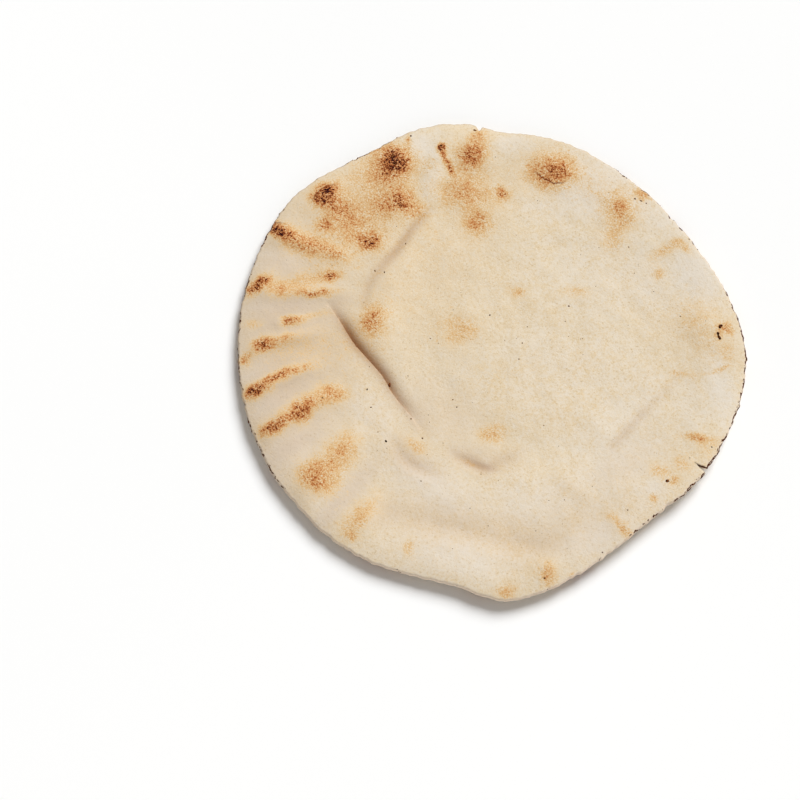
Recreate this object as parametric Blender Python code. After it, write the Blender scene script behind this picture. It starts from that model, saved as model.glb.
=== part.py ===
"""A large, thin pita: one round of two-layer flatbread that puffed in the oven and sank again.

The round lies on its underside. X runs to the right, Y away and Z up, and the origin is on the
surface it rests on, under the middle of the round. Lengths in the tables are millimetres;
MM turns them into metres. Bearings are degrees, anticlockwise from +X.
"""

import math

import bmesh
import bpy
import numpy as np
from mathutils import noise

MM = 0.001

# Thickness of the bread, underside to crust.
RIM_THICKNESS = 2.6
DISC_THICKNESS = 4.0
PUFF_THICKNESS = 5.6
LEAST_THICKNESS = 1.6

# The rim is pressed round: this much of the radius is its half-round edge.
RIM_ROUND = 1.3

# The hand-stretched outline: (bearing, radius), slightly wider than a true circle at upper left.
OUTLINE = (
    (0, 127.2), (13, 124.2), (28, 120.2), (46, 119.8), (60, 122.0), (75, 124.8), (88, 124.6),
    (95, 128.8), (108, 131.0), (117, 128.8), (142, 133.8), (152, 131.8), (166, 129.8), (183, 128.2),
    (200, 127.3), (220, 126.3), (240, 125.3), (253, 122.6), (262, 123.4), (271, 128.6), (282, 125.6),
    (298, 118.6), (315, 117.0), (324, 120.6), (335, 122.6), (349, 125.8),
)

# How far the rim has curled up off the surface: (bearing, lift).
LIFT = (
    (5, 3.6), (35, 3.2), (70, 2.4), (100, 2.6), (130, 2.0), (160, 3.0), (190, 3.4), (222, 3.4),
    (252, 3.8), (285, 5.0), (318, 6.4), (345, 4.8),
)
FLAT_SHARE = 0.6  # the underside is flat out to this share of the radius

# The middle sank as the pocket closed: a broad shallow disc inside the puffed ring.
DISC_CENTRE = (45.0, 30.0)
DISC_RADIUS = 93.0
DISC_BLEND = 26.0

# The puffed ring keeps its height almost to the rim, then rounds down to it.
RING_END = 0.78
SHOULDER = 3.5

SWELLS = ((0.5, 48.0), (0.4, 21.0))  # soft unevenness of the dough: (height, breadth)

# Creases: a gentle inner slope on the left of the line's heading, and on its right a wall with a lip.
# (depth, inner width, wall width, lip, lip width, ((x, y, share of the depth) along its bottom))
CREASES = (
    # the long sickle crease on the left of the sunken disc
    (3.0, 2.9, 2.2, 0.2, 9.0, (
        (-84, 27.8, 0.0), (-80.8, 22.9, 0.25), (-77.5, 17.8, 0.55), (-74.9, 13.4, 0.85), (-70.0, 5.3, 1.0),
        (-62.4, -3.8, 0.9), (-54.4, -14.0, 0.85), (-51.5, -19.6, 0.72), (-46.4, -26.9, 0.45),
        (-40.4, -34.1, 0.14), (-35, -41, 0.04), (-30, -47, 0.0),
    )),
    # a short dent below the disc, where the sickle would run on
    (0.7, 2.2, 6.0, 0.1, 6.0, (
        (-25, -49, 0.0), (-17.6, -54.2, 0.6), (-10.3, -57.6, 1.0), (-4.4, -60.2, 0.9), (1.6, -57.6, 0.4),
        (8.2, -54.2, 0.3), (21, -49, 0.0),
    )),
    # above the disc
    (0.5, 1.6, 4.0, 0.1, 8.0, (
        (-66, 22, 0.0), (-65.2, 25.6, 0.3), (-63.5, 34, 0.45), (-59.6, 42, 0.6), (-55, 48.3, 0.8),
        (-50.6, 53.5, 1.0), (-44.7, 61.9, 1.0), (-40.9, 68, 0.9), (-34.5, 75.9, 0.6), (-29, 82, 0.0),
    )),
    # below the sickle
    (0.6, 4.0, 6.0, 0.1, 8.0, (
        (-52, -42, 0.0), (-49.7, -46.5, 0.5), (-45.5, -53.8, 1.0), (-38.6, -59.5, 1.0), (-31.2, -63.1, 0.6),
        (-22, -66, 0.0),
    )),
    # low on the right
    (0.3, 12.0, 12.0, 0.1, 9.0, (
        (62, -96, 0.0), (56, -93, 0.4), (46.4, -89, 0.8), (38, -84, 1.0), (32, -79, 1.0), (25, -73, 0.8),
        (18, -67, 0.0),
    )),
    # the ledge along the near side
    (0.8, 7.0, 12.0, 0.2, 8.0, (
        (-62, -79, 0.0), (-52, -83, 0.4), (-46, -85.2, 0.6), (-33.8, -88.8, 0.8), (-19.2, -91.3, 0.9),
        (-4.6, -94.3, 0.9), (5.1, -97.9, 1.0), (14.8, -99.9, 1.0), (26.9, -99.4, 0.7), (38, -94, 0.0),
    )),
    # across the right
    (0.25, 1.6, 3.0, 0.1, 6.0, (
        (55, -53, 0.0), (58.2, -49.1, 0.6), (62.8, -43.9, 1.0), (69.3, -36.8, 1.0), (78.3, -27, 0.6),
        (86.1, -19.6, 0.35), (98, -3, 0.0),
    )),
)

# Ridges, and hollows below zero: (height, width on the left, on the right, ((x, y, share) along it)).
RIDGES = (
    # the disc sinks slowly towards its crease
    (-1.6, 34.0, 16.0, (
        (-80, 34, 0.0), (-64, 4, 0.5), (-46, -22, 1.0), (-24, -46, 1.0), (4, -56, 0.6), (32, -52, 0.0),
    )),
    # edge of the sunken disc
    (0.8, 7.0, 12.0, ((-30, 50, 0.3), (-49, 39, 0.8), (-55, 23, 1.0), (-52, 5, 0.6), (-46, -8, 0.1))),
    (0.15, 6.0, 12.0, (
        (66, 48, 0.0), (77, 23, 0.8), (81, 10, 1.0), (83, -4, 1.0), (80, -18, 0.8), (70, -34, 0.0),
    )),
    # ridges that run in from the left of the rim
    (1.9, 4.4, 4.4, ((-122, -23, 0.6), (-112, -18, 1.0), (-100, -11, 1.0), (-86, -5, 0.0))),
    (2.1, 5.2, 5.2, ((-113, -43, 0.6), (-102, -35, 1.0), (-88, -26, 1.0), (-74, -19, 0.0))),
    (1.8, 7.5, 7.5, ((-95, -75, 0.7), (-84, -62, 1.0), (-74, -50, 0.8), (-64, -38, 0.0))),
    (1.6, 4.2, 4.2, ((-119, 1, 0.6), (-108, 6, 1.0), (-96, 9, 0.8), (-82, 13, 0.0))),
    (1.1, 6.0, 6.0, ((-70, -95, 0.6), (-64, -87, 1.0), (-55, -74, 0.0))),
    (1.3, 3.6, 3.6, ((-106, 15, 0.6), (-99, 17, 1.0), (-90, 19, 0.0))),
    (1.2, 4.2, 4.2, ((-112, 31, 0.6), (-98, 32, 1.0), (-84, 33, 0.8), (-72, 36, 0.0))),
    (1.2, 4.5, 4.5, ((-112, 67, 0.8), (-98, 60, 1.0), (-82, 54, 0.7), (-70, 51, 0.0))),
    (0.9, 5.0, 5.0, ((-20, 124, 0.8), (-27, 106, 1.0), (-32, 92, 0.7), (-34, 80, 0.0))),
)

# Blisters that caught the heat: (x, y, reach, height).
BLISTERS = (
    (-49, 106, 9, 1.2), (-46, 83, 9, 0.8), (-9, 111, 9, 0.8), (-12, 89, 12, 0.5), (-85, 86, 9, 1.5),
    (-109, 66, 8, 1.1), (-117, 36, 8, 1.3), (33, 102, 10, 1.0), (66, 79, 10, 0.7), (107, 15, 14, 1.3),
    (-60, 14, 8, 0.5), (62, -92, 8, 0.6), (24, -115, 7, 0.8), (100, -45, 8, 0.5),
)

# Breaks in the rim: (bearing, turn of the cut off the radius, depth, width at the mouth).
SPLITS = {"notch": (92.6, 12.0, 3.4, 3.2), "tear": (328.6, -19.0, 8.0, 2.4)}

GRID = 48  # squares across the round
LEAST_WIDTH = 4.2  # a narrower crease or ridge would fall between the squares
RIM_CUTS = 3  # rings of points between crust and underside
CURVE_STEP = 1.5  # spacing of the points read off a crease's curve
CUTTER_HEIGHT = 40.0

CRUST_COLOUR = "E4D3B9"
CRUST_ROUGHNESS = 0.85


def clear_scene():
    for thing in list(bpy.data.objects):
        bpy.data.objects.remove(thing, do_unlink=True)


def linear(hex_colour):
    """An sRGB hex colour as linear RGBA."""
    parts = [int(hex_colour[i : i + 2], 16) / 255 for i in (0, 2, 4)]
    return [c / 12.92 if c <= 0.04045 else ((c + 0.055) / 1.055) ** 2.4 for c in parts] + [1.0]


def ease(t):
    t = np.clip(t, 0.0, 1.0)
    return t * t * (3.0 - 2.0 * t)


def through(places, values, at):
    """Smooth values at the places asked for, on a curve through the rows given."""
    slopes = np.gradient(values, places, axis=0)
    i = np.clip(np.searchsorted(places, at, side="right") - 1, 0, len(places) - 2)
    gap, t = places[i + 1] - places[i], (at - places[i]) / (places[i + 1] - places[i])
    if values.ndim > 1:
        gap, t = gap[:, None], t[:, None]
    rise = (3.0 - 2.0 * t) * t * t
    bend = gap * t * (1.0 - t) * (slopes[i] * (1.0 - t) - slopes[i + 1] * t)
    return values[i] * (1.0 - rise) + values[i + 1] * rise + bend


def around(table, bearing):
    """Smooth value at each bearing, through a table of (bearing, value) that closes on itself."""
    rows = np.array(table, float)
    rows = np.concatenate([rows[-2:] - (360.0, 0.0), rows, rows[:2] + (360.0, 0.0)])
    bearing = np.mod(bearing - rows[1, 0], 360.0) + rows[1, 0]
    return through(rows[:, 0], rows[:, 1], bearing)


def polar(x, y):
    """(bearing, share of the way from the middle to the rim)."""
    bearing = np.degrees(np.arctan2(y, x))
    return bearing, np.hypot(x, y) / around(OUTLINE, bearing)


def nearest_on(x, y, points):
    """Distance to a smooth curve through the points, its value there, and the side (+ is left)."""
    rows = np.array(points, float)
    along = np.concatenate([[0.0], np.cumsum(np.hypot(*np.diff(rows[:, :2], axis=0).T))])
    steps = np.linspace(0.0, along[-1], max(4, int(along[-1] / CURVE_STEP)))
    curve = through(along, rows, steps)
    heading = np.gradient(curve[:, :2], axis=0)
    heading /= np.hypot(heading[:, 0], heading[:, 1])[:, None]
    away_x = x[:, None] - curve[None, :, 0]
    away_y = y[:, None] - curve[None, :, 1]
    nearest = np.argmin(away_x**2 + away_y**2, axis=1)
    pick = np.arange(len(x))
    away_x, away_y = away_x[pick, nearest], away_y[pick, nearest]
    side = heading[nearest, 0] * away_y - heading[nearest, 1] * away_x
    return np.hypot(away_x, away_y), curve[nearest], side


def crease_height(x, y, crease):
    depth, inner, wall, lip, lip_width, points = crease
    inner, wall = max(inner, LEAST_WIDTH), max(wall, LEAST_WIDTH)
    away, place, side = nearest_on(x, y, points)
    valley = -depth * np.exp(-((away / inner) ** 1.3))
    climb = ease(away / wall)
    beyond = np.maximum(away - wall, 0.0) / lip_width
    outside = climb * lip * np.exp(-(beyond**2)) - depth * (1.0 - climb)
    return place[:, 2] * np.where(side > 0, valley, outside)


def ridge_height(x, y, ridge):
    height, left, right, points = ridge
    away, place, side = nearest_on(x, y, points)
    width = np.maximum(left + (right - left) * ease(0.5 - side), LEAST_WIDTH)
    return height * place[:, 2] * np.exp(-((away / width) ** 2))


def relief(x, y):
    """Creases, ridges, blisters and soft swells of the crust, above its even thickness."""
    total = sum(crease_height(x, y, crease) for crease in CREASES)
    total = total + sum(ridge_height(x, y, ridge) for ridge in RIDGES)
    for at_x, at_y, reach, height in BLISTERS:
        total = total + height * np.exp(-((x - at_x) ** 2 + (y - at_y) ** 2) / reach**2)
    for height, breadth in SWELLS:
        swell = [noise.noise((a, b, breadth)) for a, b in zip(x / breadth, y / breadth)]
        total = total + height * np.array(swell)
    return total


def underside(x, y):
    """Height of the underside: flat in the middle, curling up towards the rim."""
    bearing, share = polar(x, y)
    return around(LIFT, bearing) * np.clip((share - FLAT_SHARE) / (1.0 - FLAT_SHARE), 0.0, None) ** 2


def crust(x, y):
    """Height of the upper crust."""
    bearing, share = polar(x, y)
    from_disc = np.hypot(x - DISC_CENTRE[0], y - DISC_CENTRE[1]) - DISC_RADIUS
    body = DISC_THICKNESS + (PUFF_THICKNESS - DISC_THICKNESS) * ease(from_disc / DISC_BLEND + 0.5)
    fade = 1.0 - np.clip((share - RING_END) / (1.0 - RING_END), 0.0, 1.0) ** SHOULDER
    inner = np.maximum(body + relief(x, y), LEAST_THICKNESS)
    return underside(x, y) + RIM_THICKNESS + (inner - RIM_THICKNESS) * fade


def square_to_disc(a, b):
    """Points of the square (-1..1) laid on the unit disc, with their spacing kept nearly even."""
    wide = np.abs(a) > np.abs(b)
    reach = np.where(wide, a, b)
    share = np.divide(np.where(wide, b, a), reach, out=np.zeros_like(reach), where=reach != 0)
    angle = np.where(wide, share, 2.0 - share) * math.pi / 4.0
    return reach * np.cos(angle), reach * np.sin(angle)


def bread_mesh():
    """A slab of squares with a subdivided edge, laid on the round and given its thickness."""
    bm = bmesh.new()
    bmesh.ops.create_grid(bm, x_segments=GRID, y_segments=GRID, size=1.0)
    made = bmesh.ops.extrude_face_region(bm, geom=bm.faces[:])
    for thing in made["geom"]:
        if isinstance(thing, bmesh.types.BMVert):
            thing.co.z = 1.0
    uprights = [e for e in bm.edges if abs(e.verts[0].co.z - e.verts[1].co.z) > 0.5]
    bmesh.ops.subdivide_edges(bm, edges=uprights, cuts=RIM_CUTS)

    grid = np.array([v.co for v in bm.verts])
    unit_x, unit_y = square_to_disc(grid[:, 0], grid[:, 1])
    bearing = np.degrees(np.arctan2(unit_y, unit_x))
    inner = around(OUTLINE, bearing) - RIM_ROUND
    x, y = unit_x * inner, unit_y * inner
    low, high = underside(x, y), crust(x, y)
    # levels strictly between the two skins are on the rim, and swing out round a half circle
    swing = math.pi * (grid[:, 2] - 0.5)
    z = (low + high) / 2 + (high - low) / 2 * np.sin(swing)
    x = x + RIM_ROUND * np.cos(swing) * unit_x
    y = y + RIM_ROUND * np.cos(swing) * unit_y
    x, y = x - (x.min() + x.max()) / 2, y - (y.min() + y.max()) / 2
    for vert, place in zip(bm.verts, np.column_stack([x, y, z]) * MM):
        vert.co = place
    bmesh.ops.recalc_face_normals(bm, faces=bm.faces)
    mesh = bpy.data.meshes.new("bread")
    bm.to_mesh(mesh)
    bm.free()
    return mesh


def crust_material():
    material = bpy.data.materials.new("baked_wheat_crust")
    material.use_nodes = True
    shader = material.node_tree.nodes["Principled BSDF"]
    shader.inputs["Base Color"].default_value = linear(CRUST_COLOUR)
    shader.inputs["Roughness"].default_value = CRUST_ROUGHNESS
    shader.inputs["Metallic"].default_value = 0.0
    return material


def towards(bearing, length):
    angle = math.radians(bearing)
    return np.array([math.cos(angle), math.sin(angle)]) * length


def split_cutter(name, bearing, turn, depth, width):
    """A wedge that opens outwards from a point inside the rim."""
    mouth = towards(bearing, float(around(OUTLINE, np.array([float(bearing)]))[0]))
    outward = towards(bearing + turn, depth)
    across = towards(bearing + turn + 90.0, width)
    # the wedge runs as far past the mouth as it reaches in, where it is twice as wide
    corners = [mouth - outward, mouth + outward - across, mouth + outward + across]
    bm = bmesh.new()
    verts = [bm.verts.new((p[0] * MM, p[1] * MM, -CUTTER_HEIGHT / 2 * MM)) for p in corners]
    face = bm.faces.new(verts)
    made = bmesh.ops.extrude_face_region(bm, geom=[face])
    raised = [v for v in made["geom"] if isinstance(v, bmesh.types.BMVert)]
    bmesh.ops.translate(bm, verts=raised, vec=(0.0, 0.0, CUTTER_HEIGHT * MM))
    bmesh.ops.recalc_face_normals(bm, faces=bm.faces)
    mesh = bpy.data.meshes.new(name)
    bm.to_mesh(mesh)
    bm.free()
    cutter = bpy.data.objects.new(name, mesh)
    bpy.context.scene.collection.objects.link(cutter)
    cutter.hide_render = True
    cutter.display_type = "WIRE"
    return cutter


def main():
    clear_scene()
    bread = bpy.data.objects.new("bread", bread_mesh())
    bpy.context.scene.collection.objects.link(bread)
    bread.data.materials.append(crust_material())
    bread.data.shade_smooth()
    for name, split in SPLITS.items():
        cut = bread.modifiers.new(name, "BOOLEAN")
        cut.operation = "DIFFERENCE"
        cut.solver = "EXACT"
        cut.object = split_cutter(name + "_cutter", *split)


main()
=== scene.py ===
"""A large thin pita bread, lying alone on a pale table with its toasted side up.

The crust repeats the CAD part's outline, curl, folds and blisters on a much finer mesh, and adds
the small pits, the crumbly torn rim and the toasting. Tables are in millimetres, bearings in
degrees anticlockwise from +X; MM turns lengths into metres.
"""

import math

import bmesh
import bpy
import numpy as np
from mathutils import Matrix, Vector, noise
from mathutils.bvhtree import BVHTree


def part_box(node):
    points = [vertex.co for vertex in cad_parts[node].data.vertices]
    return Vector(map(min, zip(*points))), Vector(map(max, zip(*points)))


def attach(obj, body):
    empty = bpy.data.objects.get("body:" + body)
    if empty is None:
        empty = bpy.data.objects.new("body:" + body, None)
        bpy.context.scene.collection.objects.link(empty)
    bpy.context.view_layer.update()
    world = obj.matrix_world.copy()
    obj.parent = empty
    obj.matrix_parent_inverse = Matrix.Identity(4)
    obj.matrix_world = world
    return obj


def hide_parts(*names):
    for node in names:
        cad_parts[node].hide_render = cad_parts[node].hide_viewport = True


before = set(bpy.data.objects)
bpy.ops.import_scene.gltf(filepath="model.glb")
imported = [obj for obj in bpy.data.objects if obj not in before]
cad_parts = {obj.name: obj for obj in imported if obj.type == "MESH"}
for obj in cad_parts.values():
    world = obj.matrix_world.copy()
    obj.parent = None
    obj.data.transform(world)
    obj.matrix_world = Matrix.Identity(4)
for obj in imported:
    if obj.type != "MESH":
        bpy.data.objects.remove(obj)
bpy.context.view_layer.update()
BREAD_LOW, BREAD_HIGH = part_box("bread")

MM = 0.001

# ---------------------------------------------------------------- the form, as in the CAD part

RIM_THICKNESS = 2.6
DISC_THICKNESS = 4.0
PUFF_THICKNESS = 5.6
LEAST_THICKNESS = 1.6
RIM_ROUND = 1.3
OUTLINE = (
    (0, 127.2), (13, 124.2), (28, 120.2), (46, 119.8), (60, 122.0), (75, 124.8), (88, 124.6),
    (95, 128.8), (108, 131.0), (117, 128.8), (142, 133.8), (152, 131.8), (166, 129.8), (183, 128.2),
    (200, 127.3), (220, 126.3), (240, 125.3), (253, 122.6), (262, 123.4), (271, 128.6), (282, 125.6),
    (298, 118.6), (315, 117.0), (324, 120.6), (335, 122.6), (349, 125.8),
)
LIFT = (
    (5, 3.6), (35, 3.2), (70, 2.4), (100, 2.6), (130, 2.0), (160, 3.0), (190, 3.4), (222, 3.4),
    (252, 3.8), (285, 5.0), (318, 6.4), (345, 4.8),
)
FLAT_SHARE = 0.6
DISC_CENTRE = (45.0, 30.0)
DISC_RADIUS = 93.0
DISC_BLEND = 26.0
RING_END = 0.78
SHOULDER = 3.5
SWELLS = ((0.5, 48.0), (0.4, 21.0), (0.18, 9.0), (0.08, 4.5))
# Creases: a gentle inner slope on the left of the line's heading, and on its right a wall with a lip.
# (depth, inner width, wall width, share of the wall's width that the lip has slid over, lip, lip width,
#  ((x, y, share of the depth) along its bottom))
CREASES = (
    # the long sickle crease on the left of the sunken disc
    (3.0, 2.9, 2.2, 1.12, 0.2, 9.0, ((-84, 27.8, 0.0), (-80.8, 22.9, 0.25), (-77.5, 17.8, 0.55), (-74.9, 13.4, 0.85),
                                     (-70.0, 5.3, 1.0), (-62.4, -3.8, 0.9), (-54.4, -14.0, 0.85), (-51.5, -19.6, 0.72),
                                     (-46.4, -26.9, 0.45), (-40.4, -34.1, 0.14), (-35, -41, 0.04), (-30, -47, 0.0))),
    # a short dent below the disc, where the sickle would run on
    (0.7, 2.2, 6.0, 0.0, 0.1, 6.0, ((-25, -49, 0.0), (-17.6, -54.2, 0.6), (-10.3, -57.6, 1.0), (-4.4, -60.2, 0.9),
                                    (1.6, -57.6, 0.4), (8.2, -54.2, 0.3), (21, -49, 0.0))),
    # above the disc
    (0.5, 1.6, 4.0, 0.0, 0.1, 8.0, ((-66, 22, 0.0), (-65.2, 25.6, 0.3), (-63.5, 34, 0.45), (-59.6, 42, 0.6),
                                    (-55, 48.3, 0.8), (-50.6, 53.5, 1.0), (-44.7, 61.9, 1.0), (-40.9, 68, 0.9),
                                    (-34.5, 75.9, 0.6), (-29, 82, 0.0))),
    (0.6, 4.0, 6.0, 0.0, 0.1, 8.0, ((-52, -42, 0.0), (-49.7, -46.5, 0.5), (-45.5, -53.8, 1.0),
                                    (-38.6, -59.5, 1.0), (-31.2, -63.1, 0.6), (-22, -66, 0.0))),
    (0.3, 12.0, 12.0, 0.0, 0.1, 9.0, ((62, -96, 0.0), (56, -93, 0.4), (46.4, -89, 0.8), (38, -84, 1.0),
                                      (32, -79, 1.0), (25, -73, 0.8), (18, -67, 0.0))),
    (0.8, 7.0, 12.0, 0.0, 0.2, 8.0, ((-62, -79, 0.0), (-52, -83, 0.4), (-46, -85.2, 0.6), (-33.8, -88.8, 0.8),
                                    (-19.2, -91.3, 0.9), (-4.6, -94.3, 0.9), (5.1, -97.9, 1.0),
                                    (14.8, -99.9, 1.0), (26.9, -99.4, 0.7), (38, -94, 0.0))),
    (0.25, 1.6, 3.0, 0.0, 0.1, 6.0, ((55, -53, 0.0), (58.2, -49.1, 0.6), (62.8, -43.9, 1.0), (69.3, -36.8, 1.0),
                                    (78.3, -27, 0.6), (86.1, -19.6, 0.35), (98, -3, 0.0))),
)
# Ridges, and hollows below zero: (height, width on the left, width on the right, ((x, y, share) along it))
RIDGES = (
    # the disc sinks slowly towards its crease
    (-1.6, 34.0, 16.0, ((-80, 34, 0.0), (-64, 4, 0.5), (-46, -22, 1.0), (-24, -46, 1.0), (4, -56, 0.6), (32, -52, 0.0))),
    # edge of the sunken disc
    (0.8, 7.0, 12.0, ((-30, 50, 0.3), (-49, 39, 0.8), (-55, 23, 1.0), (-52, 5, 0.6), (-46, -8, 0.1))),
    (0.15, 6.0, 12.0, ((66, 48, 0.0), (77, 23, 0.8), (81, 10, 1.0), (83, -4, 1.0), (80, -18, 0.8), (70, -34, 0.0))),
    # ridges that run in from the left of the rim
    (1.9, 4.4, 4.4, ((-122, -23, 0.6), (-112, -18, 1.0), (-100, -11, 1.0), (-86, -5, 0.0))),
    (2.1, 5.2, 5.2, ((-113, -43, 0.6), (-102, -35, 1.0), (-88, -26, 1.0), (-74, -19, 0.0))),
    (1.8, 7.5, 7.5, ((-95, -75, 0.7), (-84, -62, 1.0), (-74, -50, 0.8), (-64, -38, 0.0))),
    (1.6, 4.2, 4.2, ((-119, 1, 0.6), (-108, 6, 1.0), (-96, 9, 0.8), (-82, 13, 0.0))),
    (1.1, 6.0, 6.0, ((-70, -95, 0.6), (-64, -87, 1.0), (-55, -74, 0.0))),
    (1.3, 3.6, 3.6, ((-106, 15, 0.6), (-99, 17, 1.0), (-90, 19, 0.0))),
    (1.2, 4.2, 4.2, ((-112, 31, 0.6), (-98, 32, 1.0), (-84, 33, 0.8), (-72, 36, 0.0))),
    (1.2, 4.5, 4.5, ((-112, 67, 0.8), (-98, 60, 1.0), (-82, 54, 0.7), (-70, 51, 0.0))),
    (0.9, 5.0, 5.0, ((-20, 124, 0.8), (-27, 106, 1.0), (-32, 92, 0.7), (-34, 80, 0.0))),
)
BLISTERS = (
    (-49, 106, 9, 1.2), (-46, 83, 9, 0.8), (-9, 111, 9, 0.8), (-12, 89, 12, 0.5), (-85, 86, 9, 1.5),
    (-109, 66, 8, 1.1), (-117, 36, 8, 1.3), (33, 102, 10, 1.0), (66, 79, 10, 0.7), (107, 15, 14, 1.3),
    (-60, 14, 8, 0.5), (62, -92, 8, 0.6), (24, -115, 7, 0.8), (100, -45, 8, 0.5),
)
SPLITS = ((92.6, 12.0, 3.4, 3.2), (328.6, -19.0, 8.0, 2.4))
CURVE_STEP = 1.0

# ---------------------------------------------------------------- what the oven left on it, and painted shade

# Toasted places: (x, y, half length, half width, turn, strength). 0.3 is gold, 0.6 brown, 1 charred.
TOAST = (
    (-49.4, 105.5, 8.0, 7.5, 60, 0.70), (-49.6, 109, 4.5, 2.6, 95, 0.38), (-55, 101, 15, 12, 20, 0.26),
    (-46, 83.5, 7.0, 6.5, 0, 0.42), (-47, 81.5, 2.6, 1.8, 90, 0.36), (-38, 78, 5, 4, 0, 0.24),
    (-54, 80, 7, 6, 0, 0.22), (-85, 87, 7.0, 4.8, 32, 0.78), (-79, 80, 7, 5, -30, 0.28),
    (-109, 67, 7.5, 3.8, -35, 0.80), (-96, 59.5, 13, 5.4, -25, 0.35), (-85.5, 70, 3.5, 3.2, 0, 0.36),
    (-74, 73, 12, 9, -20, 0.19), (-66, 62, 11, 8, 0, 0.14), (-61.6, 60.3, 5.0, 3.8, -10, 0.57),
    (-80, 54, 9, 3.4, -28, 0.22), (-118.5, 36.5, 7.5, 3.2, 44, 0.64), (-108, 34, 6, 5.0, 0, 0.36),
    (-97, 34, 5, 4, 0, 0.22), (-81.5, 41.5, 4.6, 3.0, 15, 0.50), (-92, 40, 9, 4, 8, 0.22),
    (-88.5, 32, 9.0, 2.0, 7, 0.52), (-25, 113.6, 2.2, 2.4, 0, 0.80), (-24, 108.5, 1.3, 3.4, 8, 0.58),
    (-21, 102.5, 1.5, 5.0, 18, 0.60), (-10, 109.5, 7.0, 8.5, -25, 0.48), (-5, 120, 4, 6, -20, 0.26),
    (-14, 89, 12, 9, 0, 0.30), (-7, 72, 6.5, 6.5, 0, 0.36), (6, 88, 3.4, 3.2, 0, 0.52),
    (-42, 118, 1.2, 2.8, 0, 0.34), (-59, 114, 6, 3, 20, 0.20), (-32, 104, 4, 4, 0, 0.10),
    (32, 102, 11.5, 9.5, -8, 0.47), (37, 99, 5.0, 2.4, -12, 0.23), (26, 95, 7.0, 5.0, -30, 0.15),
    (20.5, 102.5, 3.2, 2.2, -35, 0.10),
    (66, 78, 11, 9.5, 60, 0.22), (66.5, 80.5, 3.2, 4.0, 0, 0.22), (69, 72, 7, 4, 20, 0.14),
    (62, 62, 7, 7, 0, 0.18), (79, 88, 5.5, 2.8, -38, 0.32), (88, 56, 8.5, 3.4, 32, 0.22),
    (98, 58, 5, 2.4, -35, 0.22), (84.5, 43.6, 3.2, 3.6, 0, 0.26), (43, 34, 9, 3.4, 0, 0.16),
    (12.5, 34, 4, 3.2, 0, 0.22), (102, 18, 15, 12, 20, 0.13), (115.1, 13.8, 2.4, 2.2, 0, 0.26), (114, 9, 3.4, 1.8, 80, 0.26), (109, 4, 11, 8, 0, 0.10),
    (119, 13, 2.2, 3.2, -10, 0.34), (92, -10.5, 4.5, 1.7, -8, 0.17), (102, -11.4, 9, 1.0, -2, 0.10), (114, -9.0, 5.5, 1.5, 27, 0.22), (100, -16, 9, 5, 0, 0.03), (117.5, -1, 3.5, 4.5, -15, 0.14),
    (99.5, -45.4, 7.5, 2.2, -12, 0.36), (105, -51, 6, 5, -30, 0.13),
    (92, -59.5, 4.6, 4.8, 0, 0.22), (81, -63, 4.6, 3.8, -30, 0.22), (87, -68.5, 3.0, 2.4, 0, 0.30),
    (77, -77.5, 2.2, 1.5, 0, 0.34), (61.5, -93, 6.4, 2.6, -52, 0.28), (56, -86, 5, 3, 0, 0.11),
    (24.5, -116, 3.6, 5.4, 12, 0.28), (24, -112, 6, 6, 0, 0.08), (4, -124, 5.0, 3.0, 0, 0.26),
    (7, -119, 4, 5, 0, 0.04), (36, -117.5, 1.8, 2.2, 0, 0.38), (-87, -65.5, 10.5, 8.0, -24, 0.36),
    (-76, -53, 12, 7.5, 60, 0.34), (-88.5, -69, 6, 3.5, -27, 0.20), (-65, -85, 12, 5.4, 52, 0.25), (-70, -91, 6, 4.4, 40, 0.10),
    (-42.4, -102, 2.6, 5.0, 0, 0.22), (-70, -97, 3, 2.6, 0, 0.22), (-38.5, -49, 6.5, 3.2, -35, 0.24),
    (-1.5, -42, 6.0, 5.0, 0, 0.32), (-60.5, 17.5, 5.4, 7.0, -10, 0.36), (-16, 13, 11, 8, 0, 0.22),
    (-101.7, 16.6, 4.4, 2.6, 15, 0.54), (-92, 19.5, 8, 1.8, 8, 0.20), (-121, 15, 5, 2.4, 0, 0.17),
    (-116, 3.5, 5.0, 3.8, 30, 0.62), (-105, 6, 7, 2.6, 18, 0.24), (-124, -4.5, 3, 3, 0, 0.38),
    (-118, -20.5, 6.5, 3.4, 28, 0.72), (-106, -13, 8.5, 2.8, 27, 0.58), (-94, -9, 6, 2.4, 15, 0.24),
    (-109, -40, 8.0, 3.8, 31, 0.66), (-94, -29, 9, 5.6, 38, 0.46), (-80, -22, 7, 5.5, 10, 0.36),
    (-97, -34, 5, 4, 0, 0.32), (-100, 4, 22, 8, 20, 0.12), (-88, -4, 12, 9, 0, 0.07),
    (-66, 80, 26, 20, 20, 0.18), (-92, 56, 18, 12, -10, 0.09), (-2, 90, 22, 24, 0, 0.09), (-11.5, -57.4, 5, 1.3, -24, 0.20), (55, 92, 20, 10, -30, 0.08),
    (-45, 32, 34, 22, 30, 0.07), (-64, 8, 12, 16, 0, 0.10), (-27, 58, 22, 18, 0, 0.05), (78, 18, 7, 22, 0, 0.03),
)

# Thin cracks, charred inside: (x, y, how open) along each.
CRACKS = (
    ((22, 101.5, 0.0), (25.3, 98.6, 0.7), (29.3, 95.6, 0.9), (32.4, 94.0, 0.9), (35.5, 93.8, 0.7), (39.5, 95.5, 0.0)),
    ((-92, 82, 0.0), (-90.5, 85.5, 0.7), (-87.5, 89.3, 0.9), (-83.5, 91.8, 0.7), (-79, 92.5, 0.0)),
    ((-116, 66, 0.0), (-114, 69.5, 0.8), (-110.5, 71.2, 0.7), (-105, 70.5, 0.0)),
)
CRACK_REACH = 6.0
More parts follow.
